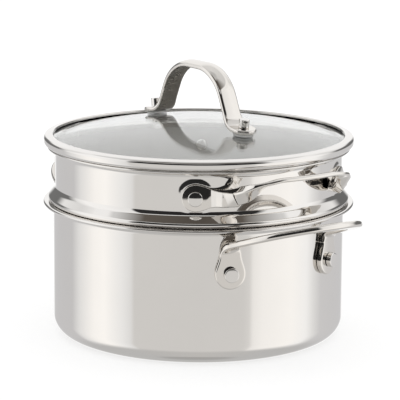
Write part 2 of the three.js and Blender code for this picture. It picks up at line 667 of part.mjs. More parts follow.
// Each side handle is fixed by two rivets.
function addSideHandle(group, name, handle, rivetGeometry, rivetAngle, rivetHeight) {
  for (const [side, sign] of Object.entries(sides)) {
    const turn = new THREE.Group();
    turn.rotation.z = sign > 0 ? 0 : Math.PI;
    turn.add(mesh(`${name}_handle_${side}`, handle(), handleSteel));
    for (const [end, endSign] of Object.entries({ a: -1, b: 1 })) {
      const piece = laidRadially(rivetGeometry(), endSign * rivetAngle, rivetHeight);
      turn.add(mesh(`${name}_rivet_${side}_${end}`, piece, rivetSteel));
    }
    group.add(turn);
  }
}

const potRivet = () => rivet(POT_WALL_RADIUS, POT_SHEET, POT_LUG_THICKNESS);
const steamerRivet = () => rivet(steamerWallRadius, STEAMER_SHEET, STEAMER_LUG_THICKNESS);
addSideHandle(potGroup, "pot", potHandle, potRivet, potRivetAngle, POT_RIVET_HEIGHT);
addSideHandle(steamerGroup, "steamer", steamerHandle, steamerRivet, steamerRivetAngle, steamerRivetHeight);

const lidGroup = new THREE.Group();
lidGroup.add(mesh("lid_glass", lidGlassBody(), lidGlass));
lidGroup.add(mesh("lid_rim_band", lidRimBand(), steamerSteel));
lidGroup.add(mesh("lid_handle", lidHandle(), handleSteel));

// The stack on each stud, square to the glass.
for (const [side, sign] of Object.entries(sides)) {
  const lean = new THREE.Group();
  lean.position.z = domeCentre;
  lean.rotation.y = sign * studLean;
  const stack = new THREE.Group();
  stack.position.z = domeRadius;
  stack.add(mesh(`lid_stud_${side}`, lidStud(), rivetSteel));
  const upperGasket = ring(studBore, GASKET_RADIUS, FIT_GAP, FIT_GAP + GASKET_THICKNESS);
  const lowerGasket = ring(studBore, GASKET_RADIUS, lowerGasketBottom, lowerGasketTop);
  const washer = ring(studBore, WASHER_RADIUS, washerBottom, washerTop);
  const nut = ring(studBore, NUT_RADIUS, nutBottom, nutTop, HEX_STEPS);
  stack.add(mesh(`lid_upper_gasket_${side}`, upperGasket, gasketRubber));
  stack.add(mesh(`lid_lower_gasket_${side}`, lowerGasket, gasketRubber));
  stack.add(mesh(`lid_washer_${side}`, washer, rivetSteel));
  stack.add(mesh(`lid_nut_${side}`, nut, rivetSteel));
  lean.add(stack);
  lidGroup.add(lean);
}

const saucepot = new THREE.Group();
saucepot.add(potGroup, steamerGroup, lidGroup);

export default saucepot;
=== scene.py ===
import math

import bmesh
import bpy
from mathutils import Matrix, Vector


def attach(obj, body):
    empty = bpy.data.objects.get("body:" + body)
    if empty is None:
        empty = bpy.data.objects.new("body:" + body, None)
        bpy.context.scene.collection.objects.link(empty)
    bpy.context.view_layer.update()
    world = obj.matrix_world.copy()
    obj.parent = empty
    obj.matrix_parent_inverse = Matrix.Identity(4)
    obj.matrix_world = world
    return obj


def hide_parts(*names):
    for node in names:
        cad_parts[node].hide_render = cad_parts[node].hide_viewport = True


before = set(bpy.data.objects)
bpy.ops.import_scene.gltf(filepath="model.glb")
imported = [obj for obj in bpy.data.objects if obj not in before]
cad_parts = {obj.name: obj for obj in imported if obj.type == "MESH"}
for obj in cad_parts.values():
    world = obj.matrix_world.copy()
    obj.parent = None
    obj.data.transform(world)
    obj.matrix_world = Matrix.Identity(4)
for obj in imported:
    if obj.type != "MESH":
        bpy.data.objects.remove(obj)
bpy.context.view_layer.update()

MM = 0.001
TINY, NEAR = 1e-6, 1e-3  # millimetres within which a point counts as on the axis or on the wall

# Sizes in millimetres, as in the part's source
GAP = 0.3
POT_RADIUS, POT_SHEET, POT_HEIGHT, POT_CORNER = 101.5, 2.3, 94.5, 13.0
POT_LIP_REACH, POT_LIP_FLARE = 6.9, 3.5
POT_RIVET_SPREAD, POT_RIVET_HEIGHT = 79.0, 64.0
POT_LUG_RADIUS, POT_LUG_THICK, POT_NECK, POT_NECK_HEIGHT, POT_BEND = 10.4, 3.8, 14.6, 77.5, 7.0
POT_REACH, POT_TILT, POT_BAR_WIDTH, POT_BAR_THICK = 53.0, math.radians(18.5), 11.0, 4.6
POT_ARM_RUN, POT_CREST_SPREAD = 0.5, 0.8
STEAMER_SHEET, STEAMER_RADIUS, STEAMER_RISE, STEAMER_DEPTH = 1.0, 100.1, 38.9, 42.0
STEAMER_LIP_REACH, STEAMER_HEM = 5.6, 0.9
BEAD_SETBACK, BEAD_NOSE, BEAD_SLOPE = 3.5, 2.6, math.radians(50)
WELL_RADIUS, WELL_CORNER, SHOULDER, CONE_FILLET = 94.387, 9.0, 3.0, 5.5
HOLE_RADIUS, HOLE_PITCH, HOLE_RINGS = 3.0, 17.0, 4
STEAMER_RIVET_SPREAD, STEAMER_RIVET_RISE = 117.6, 20.7
STEAMER_LUG_RADIUS, STEAMER_LUG_THICK, STEAMER_ARM_RUN, STEAMER_NECK = 9.0, 3.4, 29.2, 10.4
STEAMER_REACH, STEAMER_LOOP_RISE, STEAMER_TILT = 30.7, 14.6, math.radians(11)
STEAMER_BAR_WIDTH, STEAMER_BAR_THICK = 9.6, 3.3
STEAMER_TWIST, STEAMER_CLIMB = (0.23, 0.74), (0.22, 0.81)
RIVET_HEAD, RIVET_RISE, RIVET_EDGE, RIVET_SHANK = 5.0, 3.4, 0.7, 2.5
RIVET_TAIL, RIVET_TAIL_RISE, RIVET_TAIL_EDGE = 4.5, 1.6, 1.4
SOURCE_STEPS = 40  # facets of the source's round walls
FACET_SAG = POT_RADIUS * (1 - math.cos(math.pi / SOURCE_STEPS))
LID_OVERHANG, BAND_SHEET, BAND_COVER, BAND_SEAT = 2.3, 0.7, 6.6, 5.6
SKIRT_CLEARANCE, SKIRT_DROP, SKIRT_FILLET = 0.9, 4.5, 1.2
GLASS_THICK, GLASS_BRIM, DOME_RISE = 4.2, 10.0, 11.3
STUD_REACH, STUD_HEAD, STUD_RISE, STUD_EDGE, STUD_SHANK = 52.4, 3.6, 5.6, 0.6, 2.0
STRAP_THICK, STRAP_WIDTH, STRAP_FOOT, STRAP_RISE = 3.2, 14.0, 8.8, 41.2
STRAP_LEAN, STRAP_FOOT_BEND, STRAP_RUN = math.radians(65), 11.0, 9.8
GASKET_RADIUS, GASKET_THICK, WASHER_RADIUS, WASHER_THICK = 7.0, 1.6, 6.0, 1.0
NUT_RADIUS, NUT_HEIGHT = 4.2, 3.4

# Forms that are finer or rounder than in the part's source, in millimetres
BAND_TOP_EDGE, BAND_LOW_EDGE, BAND_ROLL, FLANGE_LIFT, GLASS_EDGE = 2.2, 2.7, 0.9, 1.3, 1.6
POT_RIVET_DOME, STEAMER_RIVET_DOME = 0.15, 0.5
STRAP_TOP_BEND, STRAP_EDGE, STRAP_CROWN, STRAP_LEG_CROWN = 29.0, 1.3, 1.8, 0.7
NECK_RUN, ARM_CHAMFER, ARM_LOW_BEND, ARM_HIGH_BEND, CREST_BEND = 15.8, 8.0, 10.0, 4.5, 14.0
SHOULDER_START, SHOULDER_TURN, SHOULDER_FADE = 9.6, math.radians(42), (30.0, 52.0)
PAD_RISE, PAD_UNDER, PAD_FADE, PAD_LEDGE = 0.55, 0.22, 3.8, 0.8
HOLE_CHAMFER, NUT_CHAMFER, RING_EDGE = 0.25, 0.35, 0.3

# How finely round and bent forms are divided: steps, longest runs in millimetres, sharp edges in degrees
BODY_STEPS, WALL_STEPS, SMALL_STEPS, HOLE_STEPS, NUT_STEPS, DOME_STEPS = 224, 448, 48, 28, 72, 36
NECK_STEPS, BEND_STEPS, BEND_PARTS, LOOP_STEPS = 24, 20, 10, 56
LOFT_RUN, PAD_RUN = 1.2, 0.8
SHARP, HANDLE_SHARP, NUT_SHARP = 35, 70, 25

# Sizes that follow
pot_lip = POT_RADIUS + POT_LIP_REACH
steamer_top = POT_HEIGHT + STEAMER_RISE
steamer_rivet_height = POT_HEIGHT + STEAMER_RIVET_RISE
pot_rivet_angle = math.asin(POT_RIVET_SPREAD / 2 / POT_RADIUS)
steamer_rivet_angle = math.asin(STEAMER_RIVET_SPREAD / 2 / STEAMER_RADIUS)
lid_radius = STEAMER_RADIUS + STEAMER_LIP_REACH + LID_OVERHANG
band_bottom = steamer_top + GAP
glass_radius = lid_radius - BAND_SHEET - GAP
brim_top = band_bottom + BAND_SHEET + GAP + GLASS_THICK
band_top = brim_top + GAP + BAND_SHEET
dome_foot = glass_radius - GLASS_BRIM
dome_radius = (dome_foot**2 + DOME_RISE**2) / (2 * DOME_RISE)
dome_centre = brim_top + DOME_RISE - dome_radius
stud_lean = math.asin(STUD_REACH / dome_radius)
stud_bore = STUD_SHANK + GAP

UP = Vector((0, 0, 1))


def outward(angle):
    return Vector((math.cos(angle), math.sin(angle), 0))


def sideways(angle):
    return Vector((-math.sin(angle), math.cos(angle), 0))


def mix(a, b, share):
    return a + (b - a) * share


def ease(value, low, high):
    share = min(max((value - low) / (high - low), 0.0), 1.0)
    return share * share * (3 - 2 * share)


def spread(a, b, steps):
    return [mix(a, b, i / steps) for i in range(steps + 1)]


def rounded(corners, step=6.0):
    """A line through corners (x, y) or (x, y, radius), with each corner rounded to its radius."""
    line = []
    for i, (x, y, *radius) in enumerate(corners):
        corner = Vector((x, y))
        if not radius:
            line.append(corner)
            continue
        back = (Vector(corners[i - 1][:2]) - corner).normalized()
        on = (Vector(corners[i + 1][:2]) - corner).normalized()
        half = math.acos(back.dot(on)) / 2
        turn = (math.pi - 2 * half) * math.copysign(1.0, on.x * back.y - on.y * back.x)
        centre = corner + (back + on).normalized() * (radius[0] / math.sin(half))
        arm = corner + back * (radius[0] / math.tan(half)) - centre
        steps = max(2, round(abs(turn) / math.radians(step)))
        for angle in spread(0.0, turn, steps):
            line.append(centre + Matrix.Rotation(angle, 2) @ arm)
    return line


def arc(x, y, radius, start, end, steps=12):
    """Points of a round edge, with angles in degrees."""
    angles = [math.radians(angle) for angle in spread(start, end, steps)]
    return [Vector((x + radius * math.cos(a), y + radius * math.sin(a))) for a in angles]


def offset_line(line, distance):
    """A line moved to its left by a distance, with mitred corners."""
    moved = []
    for i, point in enumerate(line):
        before = line[i - 1] if i else point * 2 - line[1]
        after = line[i + 1] if i + 1 < len(line) else point * 2 - line[i - 1]
        sides = []
        for start, end in ((before, point), (point, after)):
            sides.append(Vector((start.y - end.y, end.x - start.x)).normalized())
        mitre = (sides[0] + sides[1]).normalized()
        moved.append(point + mitre * (distance / mitre.dot(sides[0])))
    return moved


def sheet(line, thickness, edge=()):
    """The closed outline of a sheet whose one face follows a line, with points for its far edge."""
    far = offset_line(line, thickness)
    if abs(line[0].x) < TINY:
        far[0].x = 0.0
    return [*line, *edge, *reversed(far)]


def divided(line, longest):
    """The line with points added until none of its runs is longer than a length."""
    fine = [line[0]]
    for point in line[1:]:
        last = fine[-1]
        steps = math.ceil((point - last).length / longest)
        fine += [last.lerp(point, k / steps) for k in range(1, steps + 1)]
    return fine


def lengths_along(line):
    lengths = [0.0]
    for one, two in zip(line, line[1:]):
        lengths.append(lengths[-1] + (two - one).length)
    return lengths


def supported(outline, longest=3.0, inset=0.2):
    """The outline with a point just inside each end of its long flats, to keep them flat when shaded."""
    result = []
    for i, point in enumerate(outline):
        result.append(point)
        after = outline[(i + 1) % len(outline)]
        on = after - point
        on_axis = abs(point.x) < TINY and abs(after.x) < TINY
        if on.length > longest and not on_axis:
            result += [point + on.normalized() * inset, after - on.normalized() * inset]
    return result


def new_object(name, bm, sharp=SHARP):
    bmesh.ops.recalc_face_normals(bm, faces=bm.faces[:])
    mesh = bpy.data.meshes.new(name)
    bm.to_mesh(mesh)
    bm.free()
    mesh.shade_smooth()
    mesh.set_sharp_from_angle(angle=math.radians(sharp))
    piece = bpy.data.objects.new(name, mesh)
    bpy.context.scene.collection.objects.link(piece)
    return piece


def rings_to_faces(bm, rings, closed):
    pairs = list(zip(rings, rings[1:]))
    if closed:
        pairs.append((rings[-1], rings[0]))
    for one, two in pairs:
        count = max(len(one), len(two))
        for k in range(count):
            n = (k + 1) % count
            corners = [one[k % len(one)], one[n % len(one)], two[n % len(two)], two[k % len(two)]]
            corners = list(dict.fromkeys(corners))
            if len(corners) > 2:
                bm.faces.new(corners)


def turned(outline, segments, place=Matrix(), bm=None):
    """A solid turned round z from an outline of radii and heights, added to a mesh."""
    bm = bm or bmesh.new()
    rings = []
    for point in outline:
        turns = 1 if abs(point.x) < TINY else segments
        ring = []
        for k in range(turns):
            spot = outward(2 * math.pi * k / segments) * point.x + UP * point.y
            ring.append(bm.verts.new(place @ spot * MM))
        rings.append(ring)
    rings_to_faces(bm, rings, closed=abs(outline[0].x) > TINY)
    return bm


# Shares of a plate's half width, close together where its edge is rounded
ACROSS = [1, 0.997, 0.985, 0.96, 0.92, 0.87, 0.8, 0.7, 0.55, 0.35, 0.15]
ACROSS += [0] + [-share for share in reversed(ACROSS)]


def plate_ring(half_width, half_thick, edge, tail=None, belly=(0, 0), lean=0.0, lift=0.0):
    """A plate's cross-section. On a round tail, its edge is rounded along the tail's outline.

    Each face thins towards the edge by its share of the belly. The front face leans and is lifted.
    """
    faces = []
    for hollow in belly:
        face = []
        for share in ACROSS:
            across = half_width * share
            radius, along = tail or (half_width, 0.0)
            reach = min(math.hypot(across, along), radius)
            depth = min(radius - reach, edge)
            level = half_thick * (1 - hollow * (reach / radius) ** 2)
            face.append((across, level - edge + math.sqrt(edge**2 - (edge - depth) ** 2)))
        faces.append(face)
    front = []
    for across, through in faces[0]:
        front.append((across, through + lift - lean * half_thick * across / half_width))
    return front + [(across, -through) for across, through in reversed(faces[1])]


def section(centre, wide, thick, ring, bow=None):
    """A cross-section set in space, with its sides bent back by the bow."""
    points = []
    for across, through in ring:
        point = centre + wide * across + thick * through
        if bow:
            point = point - bow * across**2
        points.append(point)
    return points


# Degrees round a lug's tail at which it is cut into sections, close together at its tip
TAIL_TURNS = [1.5, 4.5, 9, 13.2, 17.3, 21.1, 24.6, 30, 37, 45, 54, 63, 72, 81, 90]


def mirrored(half, flip):
    """Sections of one half, followed by those of the mirror image."""
    other = []
    for points in reversed(half[:-1]):
        other.append([Vector((p.x * flip[0], p.y * flip[1], p.z)) for p in points])
    return half + other


def lofted(sections, place=Matrix()):
    """A solid through a row of cross-sections, closed at both ends."""
    bm = bmesh.new()
    rings = []
    for points in sections:
        rings.append([bm.verts.new(place @ point * MM) for point in points])
    rings_to_faces(bm, rings, closed=False)
    bm.faces.new(rings[0])
    bm.faces.new(rings[-1])
    return bm


def bezier(points, share):
    a, b, c, d = points
    rest = 1 - share
    return a * rest**3 + b * (3 * rest**2 * share) + c * (3 * rest * share**2) + d * share**3


# Pot body
def pot_outline():
    lip_start = pot_lip - POT_SHEET / 2
    under = POT_HEIGHT - POT_SHEET
    line = rounded([
        (0, 0),
        (POT_RADIUS, 0, POT_CORNER),
        (POT_RADIUS, under, POT_LIP_FLARE),
        (lip_start, under),
    ])
    edge = arc(lip_start, POT_HEIGHT - POT_SHEET / 2, POT_SHEET / 2, -90, 90)[1:-1]
    return supported(sheet(line, POT_SHEET, edge))


# Pot handle, pointing along +x
def pot_handle_sections():
    angle = -pot_rivet_angle
    lug_line = POT_RADIUS + GAP + POT_LUG_THICK / 2
    slope = math.tan(POT_TILT)
    half_bar, half_neck = POT_BAR_WIDTH / 2, POT_NECK / 2
    lug_edge, bar_edge = 1.0, 1.9
    lug_belly = (0.12, 0)
    out = outward(angle)
    along = -sideways(angle)
    bow = out / (2 * POT_RADIUS)
    half_lug = POT_LUG_THICK / 2
    half = []
    for turn in (math.radians(t) for t in TAIL_TURNS):
        height = POT_RIVET_HEIGHT - POT_LUG_RADIUS * math.cos(turn)
        tail = (POT_LUG_RADIUS, POT_LUG_RADIUS * math.cos(turn))
        ring = plate_ring(POT_LUG_RADIUS * math.sin(turn), half_lug, lug_edge, tail, lug_belly)
        half.append(section(out * lug_line + UP * height, along, out, ring, bow))
    for share in spread(0.0, 1.0, NECK_STEPS)[1:]:
        height = mix(POT_RIVET_HEIGHT, POT_NECK_HEIGHT, share)
        width = mix(POT_LUG_RADIUS, half_neck, ease(share, 0, 1))
        ring = plate_ring(width, half_lug, lug_edge, belly=lug_belly)
        half.append(section(out * lug_line + UP * height, along, out, ring, bow))
    # The bend turns outward from the wall and round towards +x at once.
    end_turn = math.pi / 2 - POT_TILT
    centre = out * lug_line + UP * POT_NECK_HEIGHT
    bow_end = 0.6
    parts = BEND_STEPS * BEND_PARTS
    for i in range(parts):
        share = (i + 0.5) / parts
        turn = end_turn * share
        heading = outward(angle * (1 - ease(share, 0, 1)))
        centre = centre + (UP * math.cos(turn) + heading * math.sin(turn)) * (POT_BEND * end_turn / parts)
        if (i + 1) % BEND_PARTS:
            continue
        share = (i + 1) / parts
        turn = end_turn * share
        swing = angle * (1 - ease(share, 0, 1))
        thick = outward(swing) * math.cos(turn) - UP * math.sin(turn)
        half_thick = mix(POT_LUG_THICK, POT_BAR_THICK, share) / 2
        belly = (lug_belly[0] * (1 - share), 0)
        ring = plate_ring(mix(half_neck, half_bar, share), half_thick,
                          mix(lug_edge, bar_edge, ease(share, 0, 1)), belly=belly)
        half.append(section(centre, -sideways(swing), thick, ring, bow * (1 - ease(share, 0, bow_end))))
    start = centre
    crest = POT_RADIUS + POT_REACH - half_bar
    run = crest - start.x
    path = [
        start,
        Vector((start.x + run * POT_ARM_RUN, start.y, start.z)),
        Vector((crest, start.y * POT_CREST_SPREAD, start.z)),
        Vector((crest, 0, start.z)),
    ]
    thick = Vector((slope, 0, -1)).normalized()
    ring = plate_ring(half_bar, POT_BAR_THICK / 2, bar_edge)
    just_before = 0.002
    for share in spread(0.0, 1.0, LOOP_STEPS)[1:]:
        point = bezier(path, share)
        heading = point - bezier(path, share - just_before)
        heading.z = heading.x * slope
        wide = -heading.normalized().cross(thick).normalized()
        if share == 1.0:
            wide = Vector((-thick.z, 0, thick.x))
        point.z = start.z + (point.x - start.x) * slope
        half.append(section(point, wide, thick, ring))
    return mirrored(half, (1, -1))


# Steamer body
def steamer_outline():
    floor = POT_HEIGHT - STEAMER_DEPTH
    cone_normal = math.pi / 2 - BEAD_SLOPE
    nose = pot_lip - BEAD_SETBACK - BEAD_NOSE
    nose_corner = nose + BEAD_NOSE * (1 + math.sin(cone_normal)) / math.cos(cone_normal)
    # The nose rests in the round of the pot's lip.
    lip_round = POT_LIP_FLARE + POT_SHEET
    aside = POT_RADIUS + POT_LIP_FLARE - nose
    nose_rise = math.sqrt((lip_round + GAP + BEAD_NOSE) ** 2 - aside**2)
    seat = POT_HEIGHT - lip_round + nose_rise - BEAD_NOSE
    cone_top = seat + (nose_corner - STEAMER_RADIUS) * math.tan(BEAD_SLOPE)
    flare = STEAMER_LIP_REACH - STEAMER_HEM
    lip_start = STEAMER_RADIUS + flare
    under = steamer_top - STEAMER_SHEET
    line = rounded([
        (0, floor),
        (WELL_RADIUS, floor, WELL_CORNER),
        (WELL_RADIUS, seat, SHOULDER),
        (nose_corner, seat, BEAD_NOSE),
        (STEAMER_RADIUS, cone_top, CONE_FILLET),
        (STEAMER_RADIUS, under, flare),
        (lip_start + GAP, under),
    ])[:-1]
    hem = arc(lip_start, steamer_top - STEAMER_HEM, STEAMER_HEM, -90, 90)[:-1]
    outline = supported(sheet(line, STEAMER_SHEET, hem), longest=1.6, inset=0.15)
    # The wall's outer face is divided finely, for the pads under the lugs.
    fine = []
    for point, after in zip(outline, outline[1:]):
        on_wall = abs(point.x - STEAMER_RADIUS) < NEAR and abs(after.x - STEAMER_RADIUS) < NEAR
        fine += divided([point, after], PAD_RUN)[:-1] if on_wall else [point]
    return [*fine, outline[-1]]


def press_pads(bm):
    """Presses a low pad out of the steamer's wall round each lug."""
    for vertex in bm.verts:
        radius = math.hypot(vertex.co.x, vertex.co.y) / MM
        if abs(radius - STEAMER_RADIUS) > NEAR:
            continue
        angle = math.atan2(vertex.co.y, vertex.co.x)
        run = (steamer_rivet_angle - min(abs(angle), math.pi - abs(angle))) * STEAMER_RADIUS
        above = vertex.co.z / MM - steamer_rivet_height
        along = min(max(run, 0.0), NECK_RUN)
        width = mix(STEAMER_LUG_RADIUS, STEAMER_NECK / 2, ease(along, 0, NECK_RUN))
        past_strap = math.hypot(run - along, above) - width
        past_lug = math.hypot(run, above) - STEAMER_LUG_RADIUS
        rise = mix(PAD_UNDER, PAD_RISE, ease(past_strap, -PAD_LEDGE, 0)) * (1 - ease(past_lug, 0, PAD_FADE))
        vertex.co += outward(angle) * (rise * MM)
    return bm


def steamer_hole_cutters():
    """Drills with a small chamfer where they leave each face of the floor."""
    floor = POT_HEIGHT - STEAMER_DEPTH
    past = 1.0
    outer = HOLE_RADIUS + HOLE_CHAMFER + past
    outline = [Vector(point) for point in (
        (0, floor - past),
        (outer, floor - past),
        (HOLE_RADIUS, floor + HOLE_CHAMFER),
        (HOLE_RADIUS, floor + STEAMER_SHEET - HOLE_CHAMFER),
        (outer, floor + STEAMER_SHEET + past),
        (0, floor + STEAMER_SHEET + past),
    )]
    bm = bmesh.new()
    for ring_number in range(HOLE_RINGS + 1):
        count = max(1, 6 * ring_number)
        for k in range(count):
            centre = outward(2 * math.pi * (k + 1) / count) * (ring_number * HOLE_PITCH)
            turned(outline, HOLE_STEPS, Matrix.Translation(centre), bm)
    return new_object("hole_cutters", bm)


def without(piece, cutters):
    """The piece with the cutters' volume taken out of it."""
    cutting = piece.modifiers.new("holes", "BOOLEAN")
    cutting.object = cutters
    cutting.solver = "EXACT"
    bpy.context.view_layer.update()
    done = bpy.data.meshes.new_from_object(piece.evaluated_get(bpy.context.evaluated_depsgraph_get()))
    piece.modifiers.clear()
    old = piece.data
    piece.data = done
    bpy.data.meshes.remove(old)
    bpy.data.objects.remove(cutters)
    piece.data.shade_smooth()
    piece.data.set_sharp_from_angle(angle=math.radians(SHARP))
    return piece


# Steamer handle, pointing along +x
def steamer_handle_sections():
    lug_line = STEAMER_RADIUS + GAP + STEAMER_LUG_THICK / 2
    half_bar, half_neck, half_lug = STEAMER_BAR_WIDTH / 2, STEAMER_NECK / 2, STEAMER_LUG_THICK / 2
    lug_edge, bar_edge = 0.5, 1.0
    lug_belly, lug_lean, bar_belly = (0.3, 0), 0.28, 0.36
    crest = STEAMER_RADIUS + STEAMER_REACH - half_bar
    # The route laid out flat: x runs along the wall to the handle's middle, y is the radius.
    rivet_run = steamer_rivet_angle * lug_line
    arm = rivet_run - STEAMER_ARM_RUN
    route = divided(rounded([
        (-rivet_run, lug_line),
        (-arm - ARM_CHAMFER, lug_line, ARM_LOW_BEND),
        (-arm, lug_line + ARM_CHAMFER, ARM_HIGH_BEND),
        (-arm, crest, CREST_BEND),
        (0, crest),
    ], step=4), LOFT_RUN)
    lengths = lengths_along(route)
    whole = lengths[-1]

    def place(i):
        run, radius = route[i]
        rise = STEAMER_LOOP_RISE * ease(lengths[i] / whole, *STEAMER_CLIMB)
        return outward(run / lug_line) * radius + UP * (steamer_rivet_height + rise)

    # Past the lug the front face slopes up evenly until the strap itself has turned as far.
    lifts = [0.0]
    for i in range(1, len(route)):
        on = route[i] - route[i - 1]
        turn = math.atan2(on.y, on.x)
        rise = 0.0
        if SHOULDER_START < lengths[i] < SHOULDER_FADE[0] and turn < SHOULDER_TURN:
            tightness = (lifts[-1] + half_lug) / ARM_LOW_BEND if turn > 0 else 0.0
            run = lengths[i] - max(lengths[i - 1], SHOULDER_START)
            rise = math.tan(SHOULDER_TURN - turn) * (1 - tightness) * run
        lifts.append(lifts[-1] + rise)

    half = []
    for turn in (math.radians(t) for t in TAIL_TURNS):
        back = STEAMER_LUG_RADIUS * math.cos(turn)
        angle = (-rivet_run - back) / lug_line
        ring = plate_ring(STEAMER_LUG_RADIUS * math.sin(turn), half_lug, lug_edge,
                          (STEAMER_LUG_RADIUS, back), lug_belly, lug_lean * math.sin(turn))
        half.append(section(outward(angle) * lug_line + UP * steamer_rivet_height, UP, outward(angle), ring))
    lean_fade = SHOULDER_START - 2, SHOULDER_START
    final_twist = math.pi / 2 - STEAMER_TILT
    for i in range(1, len(route)):
        if i + 1 < len(route):
            after = place(i + 1)
        else:
            after = place(i - 1) * Vector((1, -1, 1))
        heading = (after - place(i - 1)).normalized()
        upright = (UP - heading * heading.z).normalized()
        level = heading.cross(upright)
        share = lengths[i] / whole
        turned_share = ease(share, *STEAMER_TWIST)
        twist = final_twist * turned_share
        wide = upright * math.cos(twist) + level * math.sin(twist)
        thick = level * math.cos(twist) - upright * math.sin(twist)
        neck = mix(STEAMER_LUG_RADIUS, half_neck, ease(lengths[i], 0, NECK_RUN))
        free = ease(lengths[i], NECK_RUN / 2, NECK_RUN * 1.5)
        ring = plate_ring(mix(neck, half_bar, turned_share), mix(half_lug, STEAMER_BAR_THICK / 2, share),
                          mix(lug_edge, bar_edge, free),
                          belly=(mix(lug_belly[0], bar_belly, free), bar_belly * free),
                          lean=lug_lean * (1 - ease(lengths[i], *lean_fade)),
                          lift=lifts[i] * (1 - ease(lengths[i], *SHOULDER_FADE)))
        half.append(section(place(i), wide, thick, ring))
    return mirrored(half, (1, -1))


# Rivet along z, with z measured from the pot's axis
def rivet_outline(wall_radius, wall_sheet, lug_thick, dome_rise):
    inner = wall_radius - wall_sheet
    seat = wall_radius + lug_thick + 2 * GAP
    wall_bow = inner - math.sqrt(inner**2 - RIVET_TAIL**2)
    tail = inner - wall_bow - FACET_SAG - GAP
    rim = seat + RIVET_RISE - dome_rise
    flat = RIVET_HEAD - RIVET_EDGE
    line = rounded([
        (0, tail - RIVET_TAIL_RISE),
        (RIVET_TAIL, tail - RIVET_TAIL_RISE, RIVET_TAIL_EDGE),
        (RIVET_TAIL, tail),
        (RIVET_SHANK, tail),
        (RIVET_SHANK, seat),
        (RIVET_HEAD, seat),
        (RIVET_HEAD, rim, RIVET_EDGE),
        (flat / 2, rim),
    ], step=10)[:-1]
    # The dome starts a little inside the head's rounded edge.
    dome = [Vector((flat * share, rim + dome_rise * (1 - share**2))) for share in spread(0.9, 0, 9)]
    return supported([*line, *dome], longest=1.2, inset=0.15)


# Lid glass
def glass_outline():
    lean = math.asin(dome_foot / dome_radius)
    dome = []
    for angle in spread(0.0, lean, DOME_STEPS):
        dome.append(Vector((dome_radius * math.sin(angle), dome_centre + dome_radius * math.cos(angle))))
    upper = [*dome, Vector((glass_radius, brim_top))]
    under = offset_line(upper, -GLASS_THICK)[:-1]
    under[0].x = 0.0
    brim = rounded([
        (dome_foot, brim_top),
        (glass_radius, brim_top, GLASS_EDGE),
        (glass_radius, brim_top - GLASS_THICK, GLASS_EDGE),
        (dome_foot, brim_top - GLASS_THICK),
    ], step=15)[1:-1]
    return [*dome, *brim, *reversed(under)]


# Lid band
def band_outline():
    skirt = STEAMER_RADIUS - STEAMER_SHEET - SKIRT_CLEARANCE
    line = rounded([
        (lid_radius - BAND_COVER, brim_top + GAP),
        (lid_radius - BAND_COVER, band_top + FLANGE_LIFT, BAND_ROLL),
        (lid_radius, band_top, BAND_TOP_EDGE),
        (lid_radius, band_bottom, BAND_LOW_EDGE),
        (lid_radius - BAND_SEAT, band_bottom),
        (skirt, band_bottom, SKIRT_FILLET),
        (skirt, band_bottom - SKIRT_DROP),
    ], step=7.5)
    return supported(sheet(line, -BAND_SHEET), longest=0.9, inset=0.12)


# Heights along a stud, square to the glass, from the glass's upper face
foot_bottom = GAP + GASKET_THICK + GAP
foot_top = foot_bottom + STRAP_THICK
head_bottom = foot_top + GAP
lower_gasket_top = -GLASS_THICK - GAP - FACET_SAG
washer_top = lower_gasket_top - GASKET_THICK - GAP
nut_top = washer_top - WASHER_THICK - GAP
nut_bottom = nut_top - NUT_HEIGHT


# Lid handle, arched along x
def lid_handle_sections():
    middle = dome_radius + (foot_bottom + foot_top) / 2
    foot = Vector((-middle * math.sin(stud_lean), dome_centre + middle * math.cos(stud_lean)))
    foot_on = Vector((math.cos(stud_lean), math.sin(stud_lean)))
    heel = foot + foot_on * STRAP_RUN
    top = dome_centre + dome_radius + STRAP_RISE - STRAP_THICK / 2
    leg_run = (top - heel.y) / math.tan(STRAP_LEAN)
    line = rounded([
        tuple(foot),
        (heel.x, heel.y, STRAP_FOOT_BEND),
        (heel.x + leg_run, top, STRAP_TOP_BEND),
        (0, top),
    ], step=4)
    fine = divided(line, LOFT_RUN)
    lengths = lengths_along(fine)
    bend_start = (line[1] - line[0]).length
    bend_end = bend_start + STRAP_FOOT_BEND * (STRAP_LEAN - stud_lean)
    narrow_start, narrow_end = bend_start * 0.5, bend_end + 4
    crown_start = mix(heel.y, top, 0.45)

    def strap(point, heading, half_width, crown, tail=None):
        thick = Vector((-heading.y, 0, heading.x))
        ring = plate_ring(half_width, STRAP_THICK / 2, STRAP_EDGE, tail)
        bow = thick * (crown / half_width**2) if crown else None
        return section(Vector((point.x, 0, point.y)), Vector((0, 1, 0)), thick, ring, bow)

    half = []
    for turn in (math.radians(t) for t in TAIL_TURNS):
        back = STRAP_FOOT * math.cos(turn)
        half.append(strap(foot - foot_on * back, foot_on, STRAP_FOOT * math.sin(turn), 0, (STRAP_FOOT, back)))
    for i in range(1, len(fine)):
        after = fine[i + 1] if i + 1 < len(fine) else Vector((-fine[i - 1].x, fine[i - 1].y))
        heading = (after - fine[i - 1]).normalized()
        rise = ease(lengths[i], narrow_start, narrow_end)
        crown = mix(STRAP_LEG_CROWN, STRAP_CROWN, ease(fine[i].y, crown_start, top))
        half.append(strap(fine[i], heading, mix(STRAP_FOOT, STRAP_WIDTH / 2, rise), crown * rise))
    return mirrored(half, (-1, 1))


def stud_outline():
    return supported(rounded([
        (0, nut_bottom),
        (STUD_SHANK, nut_bottom),
        (STUD_SHANK, head_bottom),
        (STUD_HEAD, head_bottom),
        (STUD_HEAD, head_bottom + STUD_RISE, STUD_EDGE),
        (0, head_bottom + STUD_RISE),
    ], step=10), longest=1.2, inset=0.12)


